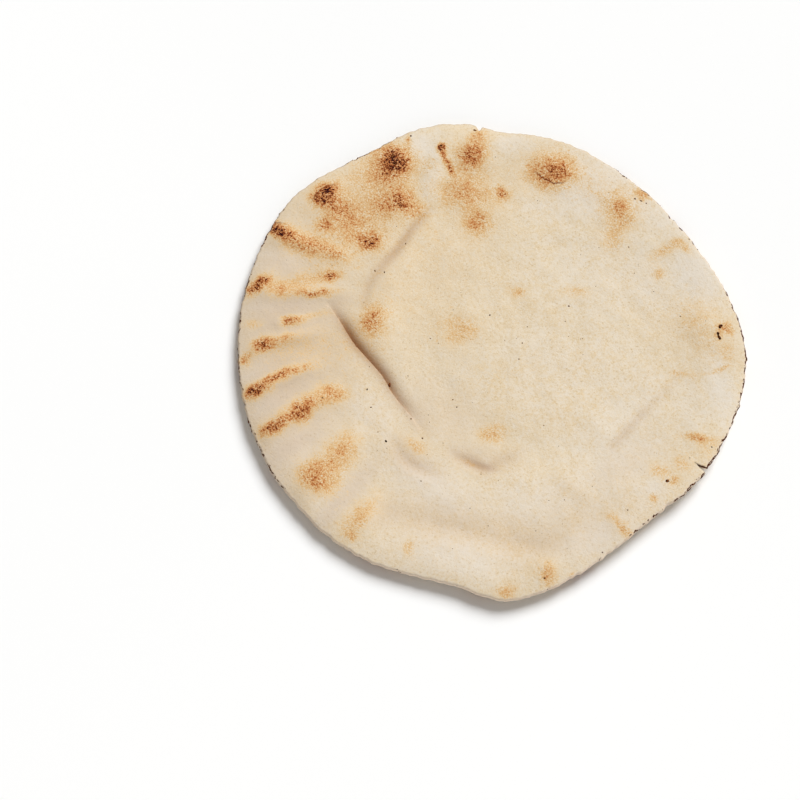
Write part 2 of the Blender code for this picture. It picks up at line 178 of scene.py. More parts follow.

# Stretches of rim laid with dark dashes: (bearing from, bearing to, strength). Scorched crust; on the left, from 140 to
# 214, partly painted shade along the rim's edge.
SCORCH_AND_EDGE_SHADE = (
    (-44, 18, 1.0), (112, 128, 0.75), (140, 156, 0.55), (158, 214, 0.62), (28, 60, 0.6), (-60, -44, 0.6), (-32.5, -27, 1.2),
)

# Where dry flour keeps the crust palest: (x, y, half length, half width, turn, strength).
FLOUR = (
    (48, 92, 24, 15, -35, 1.0), (104, 42, 20, 14, -60, 0.8), (113, -20, 24, 8, 100, 0.7), (98, -26, 20, 10, 90, 0.4),
    (80, 40, 16, 20, 0, 0.5), (62, -58, 34, 20, 30, 0.5), (-30, -70, 26, 10, -30, 0.6), (-62, -32, 16, 9, -55, 0.35),
    (-30, 100, 5, 18, -8, 0.9), (12, 116, 12, 6, 0, 0.6), (-20, -106, 30, 12, -10, 0.6), (20, -78, 26, 14, 0, 0.5),
    (-106, 50, 16, 7, -8, 0.7), (-107, 25, 14, 4, 8, 0.7), (-116, -10, 12, 5, 20, 0.7), (-62, 118, 12, 6, 30, 0.6),
    (-108, -27, 16, 4.5, 28, 0.7), (-100, -52, 18, 8, 38, 0.7), (-75, -75, 20, 6, 50, 0.7), (92, 74, 18, 12, -30, 0.6),
    (40, -8, 46, 34, 20, 0.30), (62, 48, 44, 34, 0, 0.35), (66, 92, 30, 14, -36, 0.7), (96, 40, 14, 30, 0, 0.45), (64, -34, 40, 18, 40, 0.45), (85, 88, 18, 8, -38, 0.6), (50, -96, 20, 10, 30, 0.6), (-38, 112, 9, 11, 0, 1.0),
    (76, -72, 12, 8, 40, 0.6), (30, 80, 16, 8, 0, 0.5),
)

# Where the crust is laid a little grey-brown: partly doughy crust, partly painted shade on the left side, in the
# furrows and in the folds.
DOUGH_AND_SHADE_PLACES = (
    (-38, -32, 16, 10, -50, 0.45), (-43, -33, 11, 3.2, -54, 0.80), (-102, 0, 28, 74, 0, 0.92), (-58, -84, 16, 9, 0, 0.45), (-78, 28, 10, 6, 0, 0.70), (-30, -86, 46, 22, -8, 0.22),
    (40, -92, 40, 16, 20, 0.28), (62, -60, 20, 10, 30, 0.34),
    (-108, 48, 16, 8, -8, 0.70), (-98, 25, 20, 3.5, 8, 0.80), (-110, -10, 18, 5, 22, 0.90), (-102, -24, 20, 5, 28, 0.90),
    (-100, -50, 22, 9, 38, 0.80), (-74, -76, 26, 7, 50, 0.70), (-84, 44, 26, 12, 0, 0.30), (-60, 40, 12, 22, -20, 0.25),
    (-110, 8, 12, 4, 15, 0.60), (-112, 58, 10, 5, -30, 0.60), (10, -88, 40, 8, -6, 0.20), (-42, -86, 24, 6, -10, 0.20),
    (46, -80, 20, 8, -35, 0.20), (-42, -58, 12, 6, -30, 0.35), (-47, 60, 20, 3.5, 52, 0.15), (-22, -34, 26, 16, -45, 0.35), (-50, -50, 60, 45, -45, 0.18),
    (-8, -52, 20, 7, -20, 0.35), (-6, -59.5, 8, 1.6, -14, 0.9),
)

# Burst blisters, charred inside: (x, y, half length, half width, turn).
BURST = (
    (115.1, 13.8, 1.2, 0.9, 60), (113.7, 10.0, 0.9, 0.7, 80), (114.3, 7.9, 1.4, 0.6, -65), (84.8, -68.4, 0.9, 0.8, 0),
    (-51.3, -16.0, 1.1, 0.8, 75), (64.9, -83.3, 0.4, 0.3, 0), (52.0, -104.6, 0.4, 0.3, 0), (74.8, 84.9, 0.5, 0.35, -40),
    (77.9, 83.8, 0.7, 0.35, -30), (80.6, 82.4, 0.4, 0.3, 0), (-40.3, 120.9, 0.5, 0.5, 0), (-7.2, 124.0, 0.9, 0.5, -20), (-24.6, 114.6, 0.7, 0.5, 30),
    (-49.8, 108.6, 1.2, 0.7, 80), (-48.5, 104.4, 0.9, 0.5, 40), (23.6, -117.5, 0.5, 0.4, 0), (-45.9, 81.0, 0.7, 0.4, 60),
)

# Charred crumbs along the rim: (bearing from, bearing to, how many, half length).
RIM_CRUMBS = (
    (-18, 13, 7, 1.3), (-31.5, -26.5, 2, 1.6), (-40.5, -35, 2, 1.4), (30, 58, 4, 0.5), (112, 128, 4, 0.6),
    (142, 157, 4, 0.6), (176, 205, 5, 0.7),
)

# The larger bran flakes: (x, y, half length).
BRAN = (
    (-53.9, 43.8, 0.55), (-58.7, 44.6, 0.50), (-43.1, 60.2, 0.48), (39.4, 26.0, 0.55), (-0.6, 21.1, 0.45),
    (70.8, 58.2, 0.38), (-52.9, -46.7, 0.65), (-34.9, -44.8, 0.50), (-40.5, -34.6, 0.46), (-60.4, -28.8, 0.48),
    (-62.4, -19.3, 0.55), (-84.5, -24.6, 0.52), (-56.9, -41.9, 0.36), (-35.7, -67.4, 0.40), (-19.6, -24.0, 0.38),
    (-17.7, -28.0, 0.40), (-30.7, 8.6, 0.38), (-42.0, -11.8, 0.30), (13.6, -2.7, 0.40), (18.2, 14.8, 0.30),
    (6.7, 7.5, 0.28), (15.5, 5.9, 0.36), (95.4, 20.0, 0.32), (25.3, -38.0, 0.32), (32.5, -48.7, 0.24),
    (107.4, -50.8, 0.48),
)


def linear(hex_colour, alpha=1.0):
    """An sRGB hex colour as linear RGBA."""
    parts = [int(hex_colour[i : i + 2], 16) / 255 for i in (0, 2, 4)]
    return [c / 12.92 if c <= 0.04045 else ((c + 0.055) / 1.055) ** 2.4 for c in parts] + [alpha]


def ease(t):
    t = np.clip(t, 0.0, 1.0)
    return t * t * (3.0 - 2.0 * t)


def through(places, values, at):
    """Smooth values at the places asked for, on a curve through the rows given."""
    slopes = np.gradient(values, places, axis=0)
    i = np.clip(np.searchsorted(places, at, side="right") - 1, 0, len(places) - 2)
    gap, t = places[i + 1] - places[i], (at - places[i]) / (places[i + 1] - places[i])
    if values.ndim > 1:
        gap, t = gap[:, None], t[:, None]
    rise = (3.0 - 2.0 * t) * t * t
    bend = gap * t * (1.0 - t) * (slopes[i] * (1.0 - t) - slopes[i + 1] * t)
    return values[i] * (1.0 - rise) + values[i + 1] * rise + bend


def around(table, bearing):
    """Smooth value at each bearing, through a table of (bearing, value) that closes on itself."""
    rows = np.array(table, float)
    rows = np.concatenate([rows[-2:] - (360.0, 0.0), rows, rows[:2] + (360.0, 0.0)])
    bearing = np.mod(bearing - rows[1, 0], 360.0) + rows[1, 0]
    return through(rows[:, 0], rows[:, 1], bearing)


def polar(x, y):
    """(bearing, share of the way from the middle to the rim)."""
    bearing = np.degrees(np.arctan2(y, x))
    return bearing, np.hypot(x, y) / around(OUTLINE, bearing)


def grain(x, y, breadth, seed=0.0):
    """Soft noise from -1 to 1, with lumps about this broad."""
    return np.array([noise.noise((a, b, seed)) for a, b in zip(x / breadth, y / breadth)])


def nearest_on(x, y, points):
    """Distance to a smooth curve through the points, its value there, and the side (+ is left)."""
    rows = np.array(points, float)
    along = np.concatenate([[0.0], np.cumsum(np.hypot(*np.diff(rows[:, :2], axis=0).T))])
    steps = np.linspace(0.0, along[-1], max(4, int(along[-1] / CURVE_STEP)))
    curve = through(along, rows, steps)
    heading = np.gradient(curve[:, :2], axis=0)
    heading /= np.hypot(heading[:, 0], heading[:, 1])[:, None]
    away_x = x[:, None] - curve[None, :, 0]
    away_y = y[:, None] - curve[None, :, 1]
    nearest = np.argmin(away_x**2 + away_y**2, axis=1)
    pick = np.arange(len(x))
    away_x, away_y = away_x[pick, nearest], away_y[pick, nearest]
    side = heading[nearest, 0] * away_y - heading[nearest, 1] * away_x
    return np.hypot(away_x, away_y), curve[nearest], side


def crease_height(x, y, crease):
    depth, inner, wall, _, lip, lip_width, points = crease
    away, place, side = nearest_on(x, y, points)
    valley = -depth * np.exp(-((away / inner) ** 1.3))
    climb = ease(away / wall)
    outside = climb * lip * np.exp(-((np.maximum(away - wall, 0.0) / lip_width) ** 2)) - depth * (1.0 - climb)
    return place[:, 2] * np.where(side > 0, valley, outside)


def slide_lips(x, y):
    """Draws each crease's lip in over its wall, so that the wall stands steep."""
    drawn_x, drawn_y = x.copy(), y.copy()
    for _, _, wall, slid, _, lip_width, points in CREASES:
        away, place, side = nearest_on(x, y, points)
        outside = side < 0
        rate = np.where(away < wall, away / wall, np.exp(-(((away - wall) / lip_width) ** 2)))
        move = np.where(outside, slid * wall * rate * np.minimum(1.0, 6.0 * place[:, 2]), 0.0)
        reach = np.maximum(away, 1e-6)
        drawn_x += (place[:, 0] - x) / reach * move
        drawn_y += (place[:, 1] - y) / reach * move
    return drawn_x, drawn_y


def fold_shade_and_browning(x, y):
    """How dark each point is made in a deep crease or on its lip: painted shade, with some browning of the crust."""
    total = np.zeros_like(x)
    for depth, inner, wall, _, _, _, points in CREASES:
        away, place, side = nearest_on(x, y, points)
        reach = np.where(side > 0, 1.5 * inner, min(wall, inner) + 1.4)
        total = np.maximum(total, min(1.0, 1.4 * depth / inner) * place[:, 2] * np.exp(-((away / reach) ** 2)))
    return total


def ridge_height(x, y, ridge):
    height, left, right, points = ridge
    away, place, side = nearest_on(x, y, points)
    width = left + (right - left) * ease(0.5 - side)
    return height * place[:, 2] * np.exp(-((away / width) ** 2))


def patch(x, y, at_x, at_y, half_length, half_width, turn):
    """How far inside a turned oval each point is: 1 in its middle, a third at its edge, 0 well outside."""
    c, s = math.cos(math.radians(turn)), math.sin(math.radians(turn))
    along = ((x - at_x) * c + (y - at_y) * s) / half_length
    across = ((y - at_y) * c - (x - at_x) * s) / half_width
    return np.exp(-0.9 * (along**2 + across**2) ** 1.05)


def underside(x, y):
    bearing, share = polar(x, y)
    return around(LIFT, bearing) * np.clip((share - FLAT_SHARE) / (1.0 - FLAT_SHARE), 0.0, None) ** 2


def relief(x, y):
    total = sum(crease_height(x, y, crease) for crease in CREASES)
    total = total + sum(ridge_height(x, y, ridge) for ridge in RIDGES)
    for at_x, at_y, reach, height in BLISTERS:
        total = total + height * np.exp(-((x - at_x) ** 2 + (y - at_y) ** 2) / reach**2)
    for height, breadth in SWELLS:
        total = total + height * grain(x, y, breadth, breadth)
    return total


def crust(x, y):
    bearing, share = polar(x, y)
    from_disc = np.hypot(x - DISC_CENTRE[0], y - DISC_CENTRE[1]) - DISC_RADIUS
    body = DISC_THICKNESS + (PUFF_THICKNESS - DISC_THICKNESS) * ease(from_disc / DISC_BLEND + 0.5)
    fade = 1.0 - np.clip((share - RING_END) / (1.0 - RING_END), 0.0, 1.0) ** SHOULDER
    inner = np.maximum(body + relief(x, y), LEAST_THICKNESS)
    return underside(x, y) + RIM_THICKNESS + (inner - RIM_THICKNESS) * fade


# ---------------------------------------------------------------- the bread's mesh

TOP_GRID = 280  # squares across the crust, under 1 mm each
UNDER_GRID = 96
RIM_RINGS = 9
SHARP_ANGLE = 45.0
TOP_MAP_RADIUS = 0.40  # of the baked picture's side
UNDER_MAP_RADIUS = 0.18
MAP_MARGIN = 0.004
RIM_SHARE = 0.02  # share of each map circle's radius that the rim takes


def square_to_disc(a, b):
    """Points of the square (-1..1) laid on the unit disc, with their spacing kept nearly even."""
    wide = np.abs(a) > np.abs(b)
    reach = np.where(wide, a, b)
    share = np.divide(np.where(wide, b, a), reach, out=np.zeros_like(reach), where=reach != 0)
    angle = np.where(wide, share, 2.0 - share) * math.pi / 4.0
    return reach * np.cos(angle), reach * np.sin(angle)


def slab():
    """Crust and underside as two square nets, joined by rings of faces; z runs from 1 down to 0."""
    bm = bmesh.new()
    lifted = Matrix.Translation((0.0, 0.0, 1.0))
    bmesh.ops.create_grid(bm, x_segments=TOP_GRID, y_segments=TOP_GRID, size=1.0, matrix=lifted)
    loop = [e for e in bm.edges if e.is_boundary]
    for ring in range(1, RIM_RINGS + 1):
        made = bmesh.ops.extrude_edge_only(bm, edges=loop)["geom"]
        verts = {v for v in made if isinstance(v, bmesh.types.BMVert)}
        for vert in verts:
            vert.co.z = 1.0 - ring / (RIM_RINGS + 1)
        loop = [e for e in made if isinstance(e, bmesh.types.BMEdge) and verts.issuperset(e.verts)]
    net = bmesh.ops.create_grid(bm, x_segments=UNDER_GRID, y_segments=UNDER_GRID, size=1.0)
    under = {e for v in net["verts"] for e in v.link_edges if e.is_boundary}
    bmesh.ops.bridge_loops(bm, edges=loop + sorted(under, key=lambda e: e.index))
    bmesh.ops.recalc_face_normals(bm, faces=bm.faces)
    mesh = bpy.data.meshes.new("pita")
    bm.to_mesh(mesh)
    bm.free()
    return mesh


def read(items, name, width=1):
    found = np.empty(len(items) * width, np.float32)
    items.foreach_get(name, found)
    return found.reshape(-1, width).astype(float) if width > 1 else found.astype(float)


def give(mesh, name, values):
    layer = mesh.attributes.new(name, "FLOAT", "POINT")
    layer.data.foreach_set("value", values.astype(np.float32))


def break_rim(x, y, unit_x, unit_y):
    """Opens the notch and the tear in the rim, and leaves it crumbly."""
    bearing, share = polar(x, y)
    edge = ease((share - 0.93) / 0.06)
    rough = 0.55 * grain(unit_x * 127, unit_y * 127, 2.8, 5.0) + 0.55 * grain(unit_x * 127, unit_y * 127, 7.0, 9.0)
    inward = edge * (0.35 - rough)
    for at, turn, depth, width in SPLITS:
        radius = float(around(OUTLINE, np.array([float(at)]))[0])
        inside = radius - np.hypot(x, y)
        slant = math.tan(math.radians(turn)) * inside
        off = (np.mod(bearing - at + 180.0, 360.0) - 180.0) * math.pi / 180.0 * radius + slant
        cut = depth * np.clip(1.0 - np.abs(off) / (width / 2), 0.0, 1.0)
        near = ease((share - 1.0 + 3.0 * depth / radius) / (3.0 * depth / radius))
        inward = inward + cut * near
    return x - unit_x * inward, y - unit_y * inward


def toasting(x, y):
    """How much each point of the crust has browned, 0 to 1."""
    shift_x = 1.6 * grain(x, y, 9.0, 21.0) + 1.0 * grain(x, y, 3.5, 22.0)
    shift_y = 1.6 * grain(x, y, 9.0, 31.0) + 1.0 * grain(x, y, 3.5, 32.0)
    pale = np.ones_like(x)
    for at_x, at_y, half_length, half_width, turn, strength in TOAST:
        pale *= 1.0 - strength * patch(x + shift_x, y + shift_y, at_x, at_y, half_length, half_width, turn)
    return 1.0 - pale


def strongest(x, y, places):
    """The strongest of some turned ovals at each point."""
    total = np.zeros_like(x)
    for at_x, at_y, half_length, half_width, turn, strength in places:
        total = np.maximum(total, strength * patch(x, y, at_x, at_y, half_length, half_width, turn))
    return total


def scorch_and_edge_shade_dashes(unit_x, unit_y, bearing, level):
    """Ragged dashes of brown near the top of the rim, where it caught the heat; on the left they are partly painted
    shade along its edge.
    """
    up = 9.0 * level
    patchy = np.array([noise.noise((a, b, c)) for a, b, c in zip(unit_x * 38, unit_y * 38, up * 0.35)])
    ragged = np.array([noise.noise((a, b, c)) for a, b, c in zip(unit_x * 85, unit_y * 85, up * 0.9)])
    line = np.exp(-(((level - 0.64 - 0.20 * ragged) / 0.20) ** 2))
    total = np.zeros_like(bearing)
    for start, end, strength in SCORCH_AND_EDGE_SHADE:
        middle, half = (start + end) / 2, (end - start) / 2
        off = np.abs(np.mod(bearing - middle + 180.0, 360.0) - 180.0)
        dashes = ease((patchy + 0.8 * ragged + strength * ease((half - off) / 3.0) - 0.78) / 0.15)
        total = np.maximum(total, np.minimum(1.0, 1.6 * line * dashes))
    return total


def nearest_crack(x, y):
    """(signed distance to the nearest crack, how open it is there)."""
    near, opened = np.full_like(x, CRACK_REACH), np.zeros_like(x)
    for points in CRACKS:
        away, place, side = nearest_on(x, y, points)
        closer = away < np.abs(near)
        near = np.where(closer, np.copysign(away, side), near)
        opened = np.where(closer, place[:, 2], opened)
    return near, opened


def pita_mesh():
    mesh = slab()
    net = read(mesh.vertices, "co", 3)
    unit_x, unit_y = square_to_disc(net[:, 0], net[:, 1])
    bearing = np.degrees(np.arctan2(unit_y, unit_x))
    inner = around(OUTLINE, bearing) - RIM_ROUND
    x, y = break_rim(unit_x * inner, unit_y * inner, unit_x, unit_y)
    low, high = underside(x, y), crust(x, y)
    on_top = net[:, 2] > 0.5
    slid_x, slid_y = slide_lips(x, y)
    swing = math.pi * (net[:, 2] - 0.5)
    z = (low + high) / 2 + (high - low) / 2 * np.sin(swing)
    seam = np.cos(swing) * np.isclose(np.hypot(unit_x, unit_y), 1.0, atol=1e-4)
    round_x = np.where(on_top, slid_x, x) + RIM_ROUND * seam * unit_x
    round_y = np.where(on_top, slid_y, y) + RIM_ROUND * seam * unit_y
    middle_x = (round_x.min() + round_x.max()) / 2
    middle_y = (round_y.min() + round_y.max()) / 2
    centre = (Vector(BREAD_LOW) + Vector(BREAD_HIGH)) / 2 / MM
    place = np.column_stack([round_x - middle_x + centre.x, round_y - middle_y + centre.y, z])
    mesh.vertices.foreach_set("co", (place * MM).astype(np.float32).ravel())

    give(mesh, "toast", toasting(x, y) * on_top + under_toasting(x, y) * ~on_top)
    # scorched dashes along the rim, on the left partly painted shade
    give(mesh, "scorch_and_shade", scorch_and_edge_shade_dashes(unit_x, unit_y, bearing, net[:, 2]) * (seam > 1e-3))
    # the rim's side laid tan, most at the back where the key light falls on it: partly its own colour, partly painted
    # shade against that light
    give(mesh, "rim", seam * (0.5 + 0.5 * unit_y))
    # painted light: the rim's near side made paler, as though lit from the front
    give(mesh, "rim_light_paint", seam * (0.5 - 0.5 * unit_y))
    give(mesh, "flour", strongest(x, y, FLOUR) * on_top)
    # partly doughy crust, partly painted shade in the furrows, the folds and on the left side
    give(mesh, "dough_and_shade", strongest(x, y, DOUGH_AND_SHADE_PLACES) * on_top)
    # painted shade in the creases and on their lips, partly browned crust
    give(mesh, "fold_shade", fold_shade_and_browning(x, y) * on_top)
    crack_side, crack_open = nearest_crack(x, y)
    give(mesh, "crack_side", crack_side)
    give(mesh, "crack_open", crack_open * on_top)
    lay_map(mesh, net, unit_x, unit_y)
    mesh.shade_smooth()
    mesh.set_sharp_from_angle(angle=math.radians(SHARP_ANGLE))
    mesh.update()
    return mesh


def under_toasting(x, y):
    """Leopard spots where the underside touched the oven floor."""
    broad = grain(x, y, 26.0, 41.0) + 0.5 * grain(x, y, 11.0, 42.0)
    return 0.62 * ease((broad - 0.05) / 0.6) + 0.10


def lay_map(mesh, net, unit_x, unit_y):
    """Crust and underside as two circles in opposite corners of one map, parted at the rim's outermost line."""
    corner = read(mesh.loops, "vertex_index").astype(int)
    counts = read(mesh.polygons, "loop_total").astype(int)
    face = np.repeat(np.arange(len(counts)), counts)
    level = np.bincount(face, net[corner, 2]) / counts
    top = level[face] > 0.5
    depth = net[corner, 2]
    round_rim = np.where(top, 2.0 * (1.0 - depth), 2.0 * depth)
    reach = (1.0 - RIM_SHARE) + RIM_SHARE * np.clip(round_rim, 0.0, 1.0)
    radius = np.where(top, TOP_MAP_RADIUS, UNDER_MAP_RADIUS) * reach
    home = np.where(top, TOP_MAP_RADIUS + MAP_MARGIN, 1.0 - UNDER_MAP_RADIUS - MAP_MARGIN)
    uv = np.column_stack([home + unit_x[corner] * radius, home + unit_y[corner] * radius])
    layer = mesh.uv_layers.new(name="OFBake")
    layer.uv.foreach_set("vector", uv.astype(np.float32).ravel())


# ---------------------------------------------------------------- finishes


def node(tree, kind, inputs=None, stops=(), **settings):
    """Adds a shader node with its settings, its input values and links, and a ramp's colours."""
    made = tree.nodes.new("ShaderNode" + kind)
    for name, value in settings.items():
        setattr(made, name, value)
    for name, value in (inputs or {}).items():
        if isinstance(value, bpy.types.NodeSocket):
            tree.links.new(value, made.inputs[name])
        else:
            made.inputs[name].default_value = value
    for i, (place, colour) in enumerate(stops):
        stop = made.color_ramp.elements[i] if i < 2 else made.color_ramp.elements.new(place)
        stop.position, stop.color = place, linear(colour)
    return made


def new_material(name):
    material = bpy.data.materials.new(name)
    material.use_nodes = True
    return material, material.node_tree, material.node_tree.nodes["Principled BSDF"]


FLOURY = "E5DACA"
CREAM = "E2D2B8"
GOLDEN = "DBC299"
DOUGH_AND_SHADE_COLOUR = "CDB8A0"
TOAST_RAMP = (
    (0.0, "E0CBAA"), (1.0, "24101A"), (0.12, "DFC297"), (0.25, "D8B07B"), (0.38, "CD945C"),
    (0.52, "B9703A"), (0.68, "924C26"), (0.84, "582612"),
)
CHARRED = "6E2A08"
RIM_TAN_AND_SHADE = "B09E89"
FOLD_SHADE_BROWN = "A06F42"
SCORCHED_AND_SHADE_BROWN = "4E220C"
LIT_RIM_PAINT = "F2DFCA"


def wheat_crust():
    """Baked white-wheat crust: dry, matt and finely mottled, freckled gold to brown where blisters toasted."""
    material, tree, shader = new_material("baked_wheat_crust")
    place = node(tree, "TexCoord").outputs["Object"]

    def kept(name):
        return node(tree, "Attribute", attribute_name=name).outputs["Fac"]

    def cloud(breadth, detail, roughness, low, high, **more):
        """Noise with lumps this many millimetres broad, stretched so that low..high fills 0..1."""
        made = node(tree, "TexNoise", {"Vector": place, "Scale": 1 / (breadth * MM), "Detail": detail,
                                       "Roughness": roughness, **more})
        return node(tree, "MapRange", {"Value": made.outputs["Fac"], "From Min": low, "From Max": high}).outputs[0]

    def sum_of(value, times, plus):
        return node(tree, "Math", {0: value, 1: times, 2: plus}, operation="MULTIPLY_ADD").outputs[0]

    def product(first, second):
        return node(tree, "Math", {0: first, 1: second}, operation="MULTIPLY").outputs[0]

    def ranged(value, low, high):
        return node(tree, "MapRange", {"Value": value, "From Min": low, "From Max": high}).outputs[0]

    def blend(share, first, second):
        return node(tree, "Mix", {"Factor": share, "A": first, "B": second}, data_type="RGBA").outputs["Result"]

    toast, flour, dough_and_shade, scorch_and_shade = kept("toast"), kept("flour"), kept("dough_and_shade"), kept("scorch_and_shade")
    broad = cloud(30, 3.0, 0.55, 0.36, 0.66)
    mottle = cloud(5, 3.0, 0.6, 0.34, 0.68)
    fine = cloud(1.5, 2.0, 0.6, 0.34, 0.66)
    grit = cloud(0.75, 2.0, 0.6, 0.34, 0.66)
    strokes = cloud(1.4, 1.5, 0.55, 0.32, 0.68, Distortion=0.8)
    freckles = cloud(2.2, 2.0, 0.55, 0.0, 1.0)

    # the plain crust goes from floury to golden, most of it cream, gritty and sprinkled with gold freckles
    warmth = sum_of(broad, 0.26, sum_of(mottle, 0.26, sum_of(fine, 0.50, sum_of(grit, 0.60, -0.54))))
    plain = blend(warmth, linear(CREAM), linear(GOLDEN))
    dusted = sum_of(mottle, -0.35, sum_of(fine, -0.35, sum_of(flour, 1.3, 0.35)))
    dusty = blend(product(ranged(dusted, 0.1, 1.0), 0.9), plain, linear(FLOURY))
    # painted shade in the furrows, the folds and on the left side, partly doughy crust
    dough_and_shade_laid = blend(dough_and_shade, dusty, linear(DOUGH_AND_SHADE_COLOUR))

    # toasting is a gold ground under brown strokes, which darken and crowd together as it deepens
    warmed = sum_of(product(ranged(freckles, 0.56, 0.66), broad), 0.09, toast)
    ground = sum_of(warmed, 0.70, product(sum_of(mottle, 0.4, sum_of(grit, 1.0, -0.66)), warmed))
    specks = ranged(sum_of(warmed, 0.35, strokes), 0.62, 0.92)
    depth = sum_of(product(specks, ranged(warmed, 0.0, 0.5)), sum_of(warmed, 0.36, 0.10), ground)
    ramp = node(tree, "ValToRGB", {"Fac": depth}, stops=TOAST_RAMP).outputs[0]
    toasted = blend(ranged(depth, 0.0, 0.16), dough_and_shade_laid, ramp)

    # painted shade: the creases and their lips darkened towards brown, partly for browned crust
    folded = blend(product(kept("fold_shade"), 0.9), toasted, linear(FOLD_SHADE_BROWN))
    # painted light on the rim's near side
    rim_light_painted = blend(product(kept("rim_light_paint"), 0.9), folded, linear(LIT_RIM_PAINT))
    # the rim's tan, partly painted shade on its lit back side
    edged = blend(product(kept("rim"), 0.9), rim_light_painted, linear(RIM_TAN_AND_SHADE))
    # the rim's dark dashes: scorched crust, on the left partly painted shade
    dark_dash_level = sum_of(grit, 0.4, sum_of(fine, 0.4, scorch_and_shade))
    dark_dash_share = ranged(dark_dash_level, 0.74, 1.05)
    rim_dashed = blend(dark_dash_share, edged, linear(SCORCHED_AND_SHADE_BROWN))

    # cracks are charred inside, and wander by a fraction of their width
    wander = sum_of(fine, 0.7, sum_of(kept("crack_side"), 1.0, -0.35))
    off = node(tree, "Math", {0: wander}, operation="ABSOLUTE").outputs[0]
    crack = product(ranged(off, 0.75, 0.2), kept("crack_open"))
    tree.links.new(blend(crack, rim_dashed, linear(CHARRED)), shader.inputs["Base Color"])

    # the skin's own tooth: dry flour at half a millimetre over soft dimples, and blisters' fine wrinkles
    dimple = cloud(1.6, 2.0, 0.5, 0.0, 1.0)
    dust = cloud(0.5, 2.0, 0.6, 0.0, 1.0)
    skin = sum_of(dust, 0.35, dimple)
    wrinkled = sum_of(specks, -0.3, skin)
    tooth = sum_of(crack, -0.5, wrinkled)
    bump = node(tree, "Bump", {"Height": tooth, "Strength": 0.5, "Distance": 0.25 * MM})
    tree.links.new(bump.outputs["Normal"], shader.inputs["Normal"])
    shader.inputs["Roughness"].default_value = 0.82
    # burnt crust, and the rim's painted shade, have no sheen
    burnt = sum_of(dark_dash_share, 1.0, sum_of(crack, 1.0, ranged(depth, 0.35, 0.9)))
    tree.links.new(product(ranged(burnt, 1.0, 0.0), 0.25), shader.inputs["Specular IOR Level"])
    return material


def bran_skin():
    """Flakes of wheat bran milled into the flour: dull brown specks."""
    material, tree, shader = new_material("wheat_bran")
    place = node(tree, "TexCoord").outputs["Object"]
    shade = node(tree, "TexNoise", {"Vector": place, "Scale": 1 / (7 * MM), "Detail": 1.0})
    ramp = node(tree, "ValToRGB", {"Fac": shade.outputs["Fac"]}, stops=((0.35, "2E1C12"), (0.65, "8A6238")))
    tree.links.new(ramp.outputs[0], shader.inputs["Base Color"])
    shader.inputs["Roughness"].default_value = 0.8
    shader.inputs["Specular IOR Level"].default_value = 0.0
    return material


def char_skin():
    """Crust burnt through: near black, warm brown at its thin edges."""
    material, tree, shader = new_material("charred_crust")
    place = node(tree, "TexCoord").outputs["Object"]
    shade = node(tree, "TexNoise", {"Vector": place, "Scale": 1 / (1.5 * MM), "Detail": 2.0})
    ramp = node(tree, "ValToRGB", {"Fac": shade.outputs["Fac"]}, stops=((0.42, "32170C"), (0.62, "84502C")))
    tree.links.new(ramp.outputs[0], shader.inputs["Base Color"])
    shader.inputs["Roughness"].default_value = 0.8
    shader.inputs["Specular IOR Level"].default_value = 0.0
    return material


def studio_table():
    """Matt white laminate: near white, very slightly uneven."""
    material, tree, shader = new_material("matt_white_laminate")
    place = node(tree, "TexCoord").outputs["Object"]
    cloud = node(tree, "TexNoise", {"Vector": place, "Scale": 2.0, "Detail": 2.0})
    ramp = node(tree, "ValToRGB", {"Fac": cloud.outputs["Fac"]}, stops=((0.3, "FAFAF9"), (0.7, "FCFCFB")))
    tree.links.new(ramp.outputs[0], shader.inputs["Base Color"])
    shader.inputs["Roughness"].default_value = 0.9
    shader.inputs["Specular IOR Level"].default_value = 0.1
    return material


# ---------------------------------------------------------------- the pieces

FINE_BRAN = 70
FLAKE_SEED = 11


def add_piece(name, mesh, material):
    piece = bpy.data.objects.new(name, mesh)
    bpy.context.scene.collection.objects.link(piece)
    mesh.materials.append(material)
    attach(piece, "root")
    return piece


def laid(skin, start, heading, along, size):
    """A matrix that lays a flake of this half size where a ray meets the skin, with its length along."""
    spot, normal, _, _ = skin.ray_cast(Vector(start) * MM, Vector(heading))
    length = (Vector(along) - normal * normal.dot(Vector(along))).normalized()
    turn = Matrix((length, normal.cross(length), normal)).transposed().to_4x4()
    return Matrix.Translation(spot) @ turn @ Matrix.Diagonal((*(Vector(size) * MM), 1.0))


def flakes(name, places, rng, crumbly):
    """One mesh of small lumps, one at each place, each a little broken."""
    bm = bmesh.new()
    for place in places:
        made = bmesh.ops.create_icosphere(bm, subdivisions=2, radius=1.0)["verts"]
        for vert in made:
            vert.co *= 1.0 + rng.uniform(-crumbly, crumbly)
        bmesh.ops.transform(bm, matrix=place, verts=made)
    mesh = bpy.data.meshes.new(name)
    bm.to_mesh(mesh)
    bm.free()
    mesh.shade_smooth()
    return mesh


def bran_places(skin, rng):
    spots = list(BRAN)
    for _ in range(FINE_BRAN):
        angle, share = rng.uniform(0.0, 360.0), 0.95 * math.sqrt(rng.uniform(0.0, 1.0))
        radius = share * float(around(OUTLINE, np.array([angle]))[0])
        x, y = radius * math.cos(math.radians(angle)), radius * math.sin(math.radians(angle))
        spots.append((x, y, rng.uniform(0.16, 0.28)))
    for x, y, half in spots:
        turn = rng.uniform(0.0, math.pi)
        size = (half, half * rng.uniform(0.6, 0.9), 0.10)
        yield laid(skin, (x, y, 50.0), (0, 0, -1), (math.cos(turn), math.sin(turn), 0), size)


